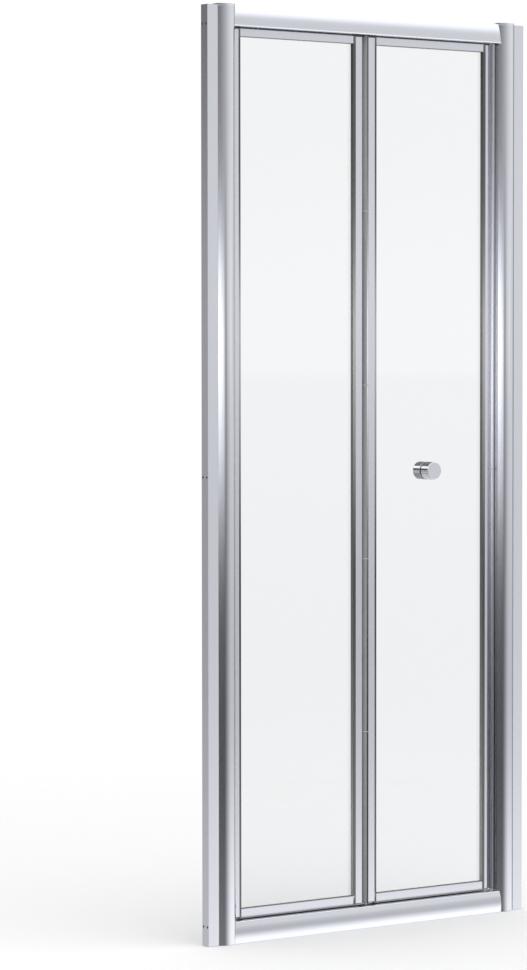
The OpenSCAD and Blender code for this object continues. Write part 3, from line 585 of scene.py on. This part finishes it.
def knob_profile(length, radius):
    """Radius and distance from the glass, from the axis at the back to the axis at the face."""
    rim = 1.2 * MM
    foot = 0.5 * MM
    steps = 6
    points = [(0, 0), (radius - foot, 0), (radius, foot)]
    for step in range(steps + 1):
        turn = math.pi / 2 * step / steps
        points.append((radius - rim + rim * math.cos(turn), length - rim + rim * math.sin(turn)))
    return points + [(0, length)]


def turned_knob(node):
    """Knob half turned on a lathe: polished side and rolled rim, satin face."""
    sides, facing = 96, 0.999
    low, high = (Vector(c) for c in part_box(node))
    middle, radius = (low + high) / 2, (high.x - low.x) / 2
    outward = 1 if middle.y > GLASS_Y * MM else -1
    back = low.y if outward > 0 else high.y
    solid = bmesh.new()
    outline = knob_profile(high.y - low.y, radius)
    verts = [solid.verts.new((r, back + outward * d, 0)) for r, d in outline]
    edges = [solid.edges.new(pair) for pair in zip(verts, verts[1:])]
    bmesh.ops.spin(solid, geom=verts + edges, cent=(0, 0, 0), axis=(0, 1, 0),
                   angle=2 * math.pi, steps=sides)
    bmesh.ops.remove_doubles(solid, verts=solid.verts, dist=WELD)
    bmesh.ops.translate(solid, verts=solid.verts, vec=(middle.x, 0, middle.z))
    bmesh.ops.recalc_face_normals(solid, faces=solid.faces)
    for face in solid.faces:
        face.material_index = 1 if face.normal.y * outward > facing else 0
    solid.faces.layers.float.new("edge")
    piece = smooth_piece(node + "_turned", solid, finishes["knob_plate"], finishes["knob_face"],
                         sharpest=40)
    return finish_piece(piece, node)


# ---- Trees that grow screws and round bars at places ----


def places_tree(name, sizes):
    """A geometry tree that has places to grow a shape at, sizes and a finish."""
    sockets = [("Places", "NodeSocketGeometry", None)]
    sockets += [(label, "NodeSocketFloat", value) for label, value in sizes]
    sockets += [("Finish", "NodeSocketMaterial", None)]
    return new_group(name, "GeometryNodeTree", sockets, [("Grown", "NodeSocketGeometry")])


def grow_at_places(tree, start, end, shape):
    """Ends a tree: the shape at each place, turned by the attribute turn, as one mesh."""
    turn = add(tree, "GeometryNodeInputNamedAttribute", {"Name": "turn"}, data_type="FLOAT_VECTOR")
    turn = add(tree, "FunctionNodeEulerToRotation", {"Euler": turn.outputs["Attribute"]})
    copies = add(tree, "GeometryNodeInstanceOnPoints", {
        "Points": start.outputs["Places"], "Instance": shape, "Rotation": turn.outputs[0]})
    real = add(tree, "GeometryNodeRealizeInstances", {"Geometry": copies.outputs[0]})
    done = add(tree, "GeometryNodeSetMaterial", {
        "Geometry": real.outputs[0], "Material": start.outputs["Finish"]})
    put_out(tree, end, Grown=done.outputs[0])


def moved(tree, shape, up):
    offset = add(tree, "ShaderNodeCombineXYZ", {"Z": up}).outputs[0]
    return add(tree, "GeometryNodeTransform", {"Geometry": shape, "Translation": offset}).outputs[0]


def swept(tree, path, profile):
    """Closed solid of a profile that is swept along a path."""
    return add(tree, "GeometryNodeCurveToMesh", {
        "Curve": path, "Profile Curve": profile, "Fill Caps": True}).outputs[0]


def circle(tree, sides, radius):
    inputs = {"Resolution": sides, "Radius": radius}
    return add(tree, "GeometryNodeCurvePrimitiveCircle", inputs).outputs[0]


def tapered_rod(tree, radius, depth, end_face, end_depth, end_scale):
    """Rod about the origin, carried on past one end face in a taper."""
    sides = 24
    rod = add(tree, "GeometryNodeMeshCylinder", {
        "Vertices": sides, "Radius": radius, "Depth": depth})
    longer = add(tree, "GeometryNodeExtrudeMesh", {
        "Mesh": rod.outputs["Mesh"], "Selection": rod.outputs[end_face],
        "Offset Scale": end_depth})
    return add(tree, "GeometryNodeScaleElements", {
        "Geometry": longer.outputs["Mesh"], "Selection": longer.outputs["Top"],
        "Scale": end_scale}).outputs[0]


def screw_head(tree, size):
    """Pan head on the plane z = 0, with a cross recess."""
    rim_share, crown_taper, recess_share = 0.45, 0.72, 1.2
    rim_h = times(tree, size["Head Height"], rim_share)
    crown_h = math_node(tree, "SUBTRACT", size["Head Height"], rim_h)
    pan = tapered_rod(tree, size["Head Radius"], rim_h, "Top", crown_h, crown_taper)
    head = moved(tree, pan, times(tree, rim_h, 0.5))
    cut = add(tree, "GeometryNodeMeshBoolean", {"Mesh 1": head}, operation="DIFFERENCE")
    long, wide = times(tree, size["Head Radius"], recess_share), size["Recess Width"]
    for x, y in ((long, wide), (wide, long)):
        slot = add(tree, "ShaderNodeCombineXYZ", {"X": x, "Y": y, "Z": size["Head Height"]})
        cube = add(tree, "GeometryNodeMeshCube", {"Size": slot.outputs[0]}).outputs["Mesh"]
        tree.links.new(moved(tree, cube, size["Head Height"]), cut.inputs["Mesh 2"])
    return cut.outputs[0]


def screw_thread(tree, size):
    """Helical ridge round the core, from the plane z = 0 down."""
    steps_per_turn, ridge_sides = 20, 3
    turns = math_node(tree, "DIVIDE", size["Length"], size["Thread Pitch"])
    helix = add(tree, "GeometryNodeCurveSpiral", {
        "Resolution": steps_per_turn, "Rotations": turns, "Height": size["Length"],
        "Start Radius": size["Core Radius"], "End Radius": size["Core Radius"]}).outputs[0]
    thread = swept(tree, helix, circle(tree, ridge_sides, size["Thread Depth"]))
    return moved(tree, thread, times(tree, size["Length"], -1.0))


def screw_tree():
    """Pan-head screw with a cross recess and a thread, its seat at its place, its head along z."""
    tree, start, end = places_tree("screw", [
        ("Length", 12 * MM), ("Core Radius", 1.35 * MM), ("Thread Pitch", 1.4 * MM),
        ("Thread Depth", 0.3 * MM), ("Head Radius", HEAD_R * MM), ("Head Height", HEAD_H * MM),
        ("Recess Width", 0.9 * MM)])
    size, tip_taper = start.outputs, 0.35
    core = tapered_rod(tree, size["Core Radius"], size["Length"], "Bottom", TIP_L * MM, tip_taper)
    shank = moved(tree, core, times(tree, size["Length"], -0.5))
    whole = add(tree, "GeometryNodeJoinGeometry")
    for part in (screw_thread(tree, size), shank, screw_head(tree, size)):
        tree.links.new(part, whole.inputs[0])
    grow_at_places(tree, start, end, whole.outputs[0])
    return tree


def round_bar_tree():
    """Round bar that starts at its place and runs along z: beads, lips and ribs."""
    tree, start, end = places_tree("round_bar", [
        ("Length", 100 * MM), ("Radius", 1 * MM), ("Sides", 24)])
    size = start.outputs
    tip = add(tree, "ShaderNodeCombineXYZ", {"Z": size["Length"]}).outputs[0]
    line = add(tree, "GeometryNodeCurvePrimitiveLine", {"Start": (0, 0, 0), "End": tip})
    bar = swept(tree, line.outputs[0], circle(tree, size["Sides"], size["Radius"]))
    grow_at_places(tree, start, end, bar)
    return tree


SCREW = screw_tree()
ROUND_BAR = round_bar_tree()


def grown(name, tree, places, **sizes):
    """Plain mesh of what a tree grows; each place is a point in mm and the shape's z axis there."""
    mesh = bpy.data.meshes.new(name)
    mesh.from_pydata([[c * MM for c in point] for point, _ in places], [], [])
    turns = mesh.attributes.new("turn", "FLOAT_VECTOR", "POINT")
    for turn, (_, direction) in zip(turns.data, places):
        turn.vector = Vector(direction).to_track_quat("Z", "Y").to_euler()
    maker = new_piece(name, mesh)
    modifier = maker.modifiers.new(name, "NODES")
    modifier.node_group = tree
    sockets = [item for item in tree.interface.items_tree if item.in_out == "INPUT"]
    identifiers = {socket.name: socket.identifier for socket in sockets}
    for label, value in sizes.items():
        modifier[identifiers[label.replace("_", " ")]] = value
    mesh = plain_mesh(maker, name).data
    bpy.data.objects.remove(maker)
    return mesh


def joined_piece(name, meshes, finish):
    """One piece of several grown meshes."""
    solid = bmesh.new()
    for mesh in meshes:
        solid.from_mesh(mesh)
    solid.faces.layers.float.new("edge")
    return smooth_piece(name, solid, finishes[finish], sharpest=35)


# ---- Screws ----

# Lengths under the head
RAIL_L, JAMB_L, BLOCK_L, NOSE_L = 13.6, 6.6, 16.6, 5
HINGE_CORNER_L, OUTER_CORNER_L = 20.5, 13.8


def rail_screws():
    """Two screws through each post into each end of the sill and of the head rail."""
    low, high = corners("rail_screws")
    sill_pitch, head_pitch = 21.5, 14
    lowest, highest = low.z + HEAD_R, high.z - HEAD_R
    x, y = high.x - HEAD_H, (low.y + high.y) / 2
    heights = (lowest, lowest + sill_pitch, highest - head_pitch, highest)
    return [((side * x, y, z), (side, 0, 0)) for side in SIDES for z in heights]


def jamb_screws():
    """Three screws down the back of each wall channel, which hold its post."""
    low, high = corners("jamb_screws")
    spread = 773.5
    x, y, middle = high.x - HEAD_R, high.y - HEAD_H, (low.z + high.z) / 2
    heights = (middle - spread, middle, middle + spread)
    return [((side * x, y, z), (0, 1, 0)) for side in SIDES for z in heights]


def block_screws():
    """One screw through each pivot block, up into the head rail and down into the sill."""
    seat_depth = 2.0
    x, y, _ = centre("pivot_block_screws")
    top = corners("pivot_block_top")[0].z + seat_depth
    foot = corners("pivot_block_bottom")[1].z - seat_depth
    return [((x, y, top), (0, 0, -1)), ((x, y, foot), (0, 0, 1))]


def corner_screws(node, side):
    """Corner screws of the panel on one side: through its hinge stile and its outer stile."""
    low, high = corners(node)
    near, far = sorted((abs(low.x), abs(high.x)))
    y, heights = (low.y + high.y) / 2, (low.z + HEAD_R, high.z - HEAD_R)
    hinge_stile_screws = [((side * (near + HEAD_H), y, z), (-side, 0, 0)) for z in heights]
    outer_stile_screws = [((side * (far - HEAD_H), y, z), (side, 0, 0)) for z in heights]
    return [(hinge_stile_screws, HINGE_CORNER_L), (outer_stile_screws, OUTER_CORNER_L)]


def nose_screw():
    """Screw at mid-height in the pivot stile's round nose, turned 25 degrees to the left."""
    seat_r, turn = 5.2, math.radians(25)
    facing = Vector((-math.sin(turn), -math.cos(turn), 0))
    axis = Vector((PIVOT_X, AXIS_Y, centre("nose_screw").z))
    return [(axis + facing * seat_r, facing)]


# Screws of each body: the nodes that they stand for, and groups of places with a length in mm
SCREW_SETS = {
    "frame_screws": (["rail_screws", "jamb_screws", "pivot_block_screws"], [
        (rail_screws(), RAIL_L), (jamb_screws(), JAMB_L), (block_screws(), BLOCK_L)]),
    "pivot_panel_screws": (["pivot_panel_corner_screws", "nose_screw"], [
        *corner_screws("pivot_panel_corner_screws", 1), (nose_screw(), NOSE_L)]),
    "slide_panel_screws": (["slide_panel_corner_screws"],
                           corner_screws("slide_panel_corner_screws", -1)),
}


def grown_screws(name, replaced, groups):
    finish = finishes["screw_steel"]
    meshes = [grown(name, SCREW, places, Length=(length - TIP_L) * MM, Finish=finish)
              for places, length in groups]
    return finish_piece(joined_piece(name, meshes, "screw_steel"), *replaced)


# ---- Trim ----


def round_bars(name, node, places, length, radius, sides, finish):
    """Round bars of one length on a node, as one piece; sizes in millimetres."""
    mesh = grown(name, ROUND_BAR, places, Length=length * MM, Radius=radius * MM,
                 Sides=float(sides), Finish=finishes[finish])
    return trim_on(joined_piece(name, [mesh], finish), node)


def add_prism(solid, outline, low, high):
    """Adds an upright prism to a solid; outline and heights in millimetres."""
    lower, upper = [[solid.verts.new((x * MM, y * MM, z * MM)) for x, y in outline]
                    for z in (low, high)]
    for i in range(len(outline)):
        j = (i + 1) % len(outline)
        solid.faces.new((lower[i], lower[j], upper[j], upper[i]))
    solid.faces.new(lower[::-1])
    solid.faces.new(upper)


def knuckle_ridges():
    """Polished ridge down the front of each knuckle, its long flank turned to the left, in a metal
    painted darker: painted shade for the shaded gap line beside each knuckle.
    """
    knuckles, gap, inset = 5, 1, 0.05
    low, high = corners("slide_hinge_stile")
    pitch = (high.z - low.z + gap) / knuckles
    section = [(-1.57, -5.48), (1.18, -7.96), (3.9, -4.1), (0.6, -3.4)]
    outline = [(x, AXIS_Y + y) for x, y in section]
    for first, node in enumerate(("slide_hinge_stile", "pivot_hinge_stile")):
        solid = bmesh.new()
        for knuckle in range(first, knuckles, 2):
            foot = low.z + knuckle * pitch
            add_prism(solid, outline, foot + inset, foot + pitch - gap - inset)
        bmesh.ops.recalc_face_normals(solid, faces=solid.faces)
        round_edges(solid, 0.35 * MM)
        trim_on(smooth_piece(node + "_ridges", solid, finishes["ridge_shaded_metal"]), node)


def seal_ribs():
    """Three fine ribs down the face of each seal strip in the posts."""
    face_r, end_gap, radius, sides = 6, 0.1, 0.2, 8
    for side, node in zip(SIDES, ("strike_magnet", "pivot_side_seal")):
        low, high = corners(node)
        places = [((side * (PIVOT_X + face_r * math.cos(turn)), AXIS_Y + face_r * math.sin(turn),
                    low.z + end_gap), (0, 0, 1)) for turn in (-0.3, 0, 0.3)]
        length = high.z - low.z - 2 * end_gap
        round_bars(node + "_ribs", node, places, length, radius, sides, "seal")


def wiper_bars(suffix, ys, z, radius, sides, finish):
    """Round bars along both wipers, from stile to stile."""
    hinge_gap, outer_gap = 0.05, 0.1
    for node, left_gap in (("pivot_panel_wiper", hinge_gap), ("slide_panel_wiper", outer_gap)):
        low, high = corners(node)
        places = [((low.x + left_gap, y, z), (1, 0, 0)) for y in ys]
        length = high.x - low.x - hinge_gap - outer_gap
        round_bars(node + suffix, node, places, length, radius, sides, finish)


def wiper_ribs():
    """Fine ribs along the underside of each wiper's carrier."""
    depth, radius, sides = 1.2, 0.4, 10
    ys = (21, 22.5, 29, 30.5, 32)
    wiper_bars("_ribs", ys, PANEL_FOOT - depth, radius, sides, "wiper_rubber")


def wiper_lips():
    """Grey lip along the front of each wiper, under the panel's lower edge."""
    radius, sides, set_back, gap = 1.35, 16, 0.05, 0.15
    y, z = STILE_Y + set_back + radius, PANEL_FOOT - gap - radius
    wiper_bars("_lip", (y,), z, radius, sides, "knuckle_coat")


def head_bead():
    """Grey sealing bead under the head rail that closes the gap over the panels."""
    radius, sides, half_l, from_back, gap = 0.65, 12, 331.5, 0.8, 0.05
    low, high = corners("head_rail")
    places = [((-half_l, high.y - from_back, low.z - gap - radius), (1, 0, 0))]
    round_bars("head_rail_bead", "head_rail", places, 2 * half_l, radius, sides, "knuckle_coat")


# ---- The door ----

# Width of a rounded edge in millimetres, where it isn't the usual one
EDGE_W = 0.3
SOFT_EDGES = {
    "post_cap_left": 0.7, "post_cap_right": 0.7, "jamb_screw_covers": 0.2,
    "fold_washers": 0.12, "pivot_spacers": 0.2, "knob_washers": 0.15,
}
SPECIAL = {
    "pivot_hinge_stile": hinge_stile, "slide_hinge_stile": hinge_stile,
    "pivot_panel_gasket": glazing_gasket, "slide_panel_gasket": glazing_gasket,
    "knob_outer": turned_knob, "knob_inner": turned_knob,
}


def dress_door():
    """Makes the screws, the trim and a finished piece for every other node."""
    for name, (replaced, groups) in SCREW_SETS.items():
        grown_screws(name, replaced, groups)
    for trim in (knuckle_ridges, seal_ribs, wiper_ribs, wiper_lips, head_bead):
        trim()
    screw_nodes = {node for replaced, _ in SCREW_SETS.values() for node in replaced}
    for node in FINISH_OF:
        if node in SPECIAL:
            SPECIAL[node](node)
        elif node not in screw_nodes:
            dressed_copy(node, SOFT_EDGES.get(node, EDGE_W) * MM)


# ---- Studio ----

# What a polished face sees in each part of the studio: a level, and steps of it over the height
# in degrees, each as (change, from, to)
WHITE_SIDE = (0.85, [
    (0.22, -5, 0), (0.12, 0, 6), (0.7, 13, 20), (1.1, -5.5, -12), (-1.0, -25, -60)])
DARK_FLAG = (0.06, [(0.17, 0, 4), (1.65, 13, 20), (0.3, -7, -13)])
DIM_BACK = (0.50, [
    (0.2, -1.3, 0.3), (-0.2, 0.9, 3.4), (-0.36, 2, 6), (-0.05, 13, 20), (0.45, -5, -10),
    (-0.5, -14, -19)])
DARKEST = 0.02

# Azimuths between which the masks of the studio rise, in degrees
OPEN_HIGH = (-75, 75)
OPEN_LOW = (-25, 52)
BACK_TO_FRONT = (-135, -105)
FRONT_TO_RIGHT = (75, 150)
FLAG_END = (-60, -52)
# Heights between which the flag goes from its low edge to its high edge, in degrees
LOW_TO_HIGH = (-4, 3)


def studio_floor():
    """Pale floor that fades out round the door."""
    reach, fade_from, sides = 3.0, 0.4, 96
    mesh = bpy.data.meshes.new("floor")
    disc = bmesh.new()
    bmesh.ops.create_circle(disc, cap_ends=True, radius=reach, segments=sides)
    disc.to_mesh(mesh)
    disc.free()
    material, tree, shader = start_material("floor_paint")
    set_shader(tree, shader, {
        "Base Color": (0.9, 0.9, 0.9, 1), "Roughness": 0.9, "Specular IOR Level": 0.0})
    away = add(tree, "ShaderNodeVectorMath", {0: object_place(tree)}, operation="LENGTH")
    far = smooth_step(tree, away.outputs["Value"], reach * fade_from, reach)
    clear = add(tree, "ShaderNodeBsdfTransparent").outputs[0]
    mixed = add(tree, "ShaderNodeMixShader", {0: far, 1: shader.outputs[0], 2: clear})
    tree.links.new(mixed.outputs[0], tree.nodes["Material Output"].inputs["Surface"])
    floor = new_piece("floor", mesh, material)
    floor.location.z = -0.5 * MM
    floor.visible_glossy = False


def stepped_light(tree, height, level, steps):
    """A level that changes by steps over the height."""
    changes = [times(tree, smooth_step(tree, height, low, high), change)
               for change, low, high in steps]
    return plus(tree, level, *changes)


def light_patch(tree, power, *steps):
    """A patch of light that is bounded by steps, each as (value, from, to)."""
    bounds = [smooth_step(tree, value, low, high) for value, low, high in steps]
    return times(tree, *bounds, power)


def flag_masks(tree, around, height):
    """Where the dark flag stands, from the left to the middle, and the dim back of the studio."""
    least_high, least_low = 0.1, 0.06
    open_high = smooth_step(tree, around, *OPEN_HIGH)
    open_high = math_node(tree, "MAXIMUM", open_high, least_high)
    open_low = smooth_step(tree, around, *OPEN_LOW)
    open_low = math_node(tree, "MAXIMUM", open_low, least_low)
    front_half = smooth_step(tree, around, *BACK_TO_FRONT)
    opened = blend(tree, smooth_step(tree, height, *LOW_TO_HIGH), open_low, open_high)
    shade = times(tree, one_less(tree, opened), front_half)
    right = smooth_step(tree, around, *FRONT_TO_RIGHT)
    dim = plus(tree, one_less(tree, front_half), right)
    return shade, dim


def slot_light(tree, around, height, shade):
    """Level slot of light in the dark flag; it is cut another way at its far left end."""
    def rise(low, high):
        return smooth_step(tree, height, low, high)

    near = smooth_step(tree, around, *FLAG_END)
    deep = times(tree, shade, shade, shade)
    near_foot = plus(tree, times(tree, rise(-0.6, 0.3), 0.45), times(tree, rise(-3.8, 0), 0.55))
    near_crown = rise(3.6, 0)
    foot = blend(tree, near, rise(-3.2, -0.6), near_foot)
    crown = blend(tree, near, rise(2.8, -0.4), times(tree, near_crown, near_crown))
    far_power = times(tree, deep, deep, 4.6)
    near_power = times(tree, deep, smooth_step(tree, around, 5, -18), 4.5)
    return times(tree, foot, crown, blend(tree, near, far_power, near_power))


def studio_shine(tree, around, height):
    """Light of the studio by azimuth and height in degrees; azimuth 0 is before the door."""
    shade, dim = flag_masks(tree, around, height)
    lit = one_less(tree, plus(tree, shade, dim))
    light = plus(tree, *[
        times(tree, stepped_light(tree, height, *sector), mask)
        for sector, mask in ((WHITE_SIDE, lit), (DARK_FLAG, shade), (DIM_BACK, dim))])
    slot = slot_light(tree, around, height, shade)
    strip = light_patch(tree, 0.3, (height, -0.45, -0.25), (height, 4, 0.8), (around, 5, 15),
                        (around, 65, 55))
    knob_window = light_patch(tree, 1.7, (height, 17, 20), (height, 33.5, 31.5),
                              (around, -120, -135))
    return math_node(tree, "MAXIMUM", plus(tree, light, slot, strip, knob_window), DARKEST)


def studio_world():
    """White studio; its lights and flags are seen only by way of a polished face."""
    world = bpy.data.worlds.new("studio")
    world.use_nodes = True
    world.cycles.sampling_method = "NONE"
    bpy.context.scene.world = world
    tree = world.node_tree
    tree.nodes.clear()
    direction = add(tree, "ShaderNodeTexCoord").outputs["Generated"]
    ray = add(tree, "ShaderNodeSeparateXYZ", {"Vector": direction}).outputs
    azimuth = math_node(tree, "ARCTAN2", ray["X"], times(tree, ray["Y"], -1.0))
    around = math_node(tree, "DEGREES", azimuth)
    height = math_node(tree, "DEGREES", math_node(tree, "ARCSINE", ray["Z"]))
    shine = studio_shine(tree, around, height)
    path = add(tree, "ShaderNodeLightPath").outputs
    # Rays that only pass through a pane count as glossy too, but at a glossy depth of 0
    mirrors = math_node(tree, "MINIMUM", path["Glossy Depth"], 1.0)
    mirrored = times(tree, path["Is Glossy Ray"], mirrors)
    seen = add(tree, "ShaderNodeMix", {"Factor": mirrored, 2: 1.0, 3: shine}, data_type="FLOAT")
    background = add(tree, "ShaderNodeBackground", {
        "Color": (1, 1, 1, 1), "Strength": seen.outputs[0]})
    output = add(tree, "ShaderNodeOutputWorld")
    tree.links.new(background.outputs[0], output.inputs["Surface"])


def studio_light():
    """One wide soft light over the front of the door."""
    light = bpy.data.lights.new("ceiling_light", "AREA")
    light.shape = "RECTANGLE"
    light.size, light.size_y = 5.0, 4.0
    light.energy = 40.0
    lamp = bpy.data.objects.new("ceiling_light", light)
    lamp.location = (0.0, -1.0, 4.2)
    lamp.visible_glossy = False
    bpy.context.scene.collection.objects.link(lamp)


def studio_camera():
    """The photograph's view: 970 px tall, with the sensor's width along that side."""
    picture_h, focal_px = 970, 3458.5
    place = Vector((-4.2549, -5.5576, 1.1650))
    down, heading, roll = math.radians(2.167), math.radians(-35.665), -0.0009
    camera = bpy.data.cameras.new("camera")
    camera.sensor_width = 36.0
    camera.lens = focal_px / picture_h * camera.sensor_width
    camera.clip_end = 200.0
    view = bpy.data.objects.new("camera", camera)
    turn = Euler((math.pi / 2 - down, 0, heading)).to_matrix().to_4x4()
    view.matrix_world = Matrix.Translation(place) @ turn @ Matrix.Rotation(roll, 4, "Z")
    bpy.context.scene.collection.objects.link(view)
    bpy.context.scene.camera = view


dress_door()
studio_floor()
studio_world()
studio_light()
studio_camera()
bpy.context.scene.view_settings.view_transform = "Standard"
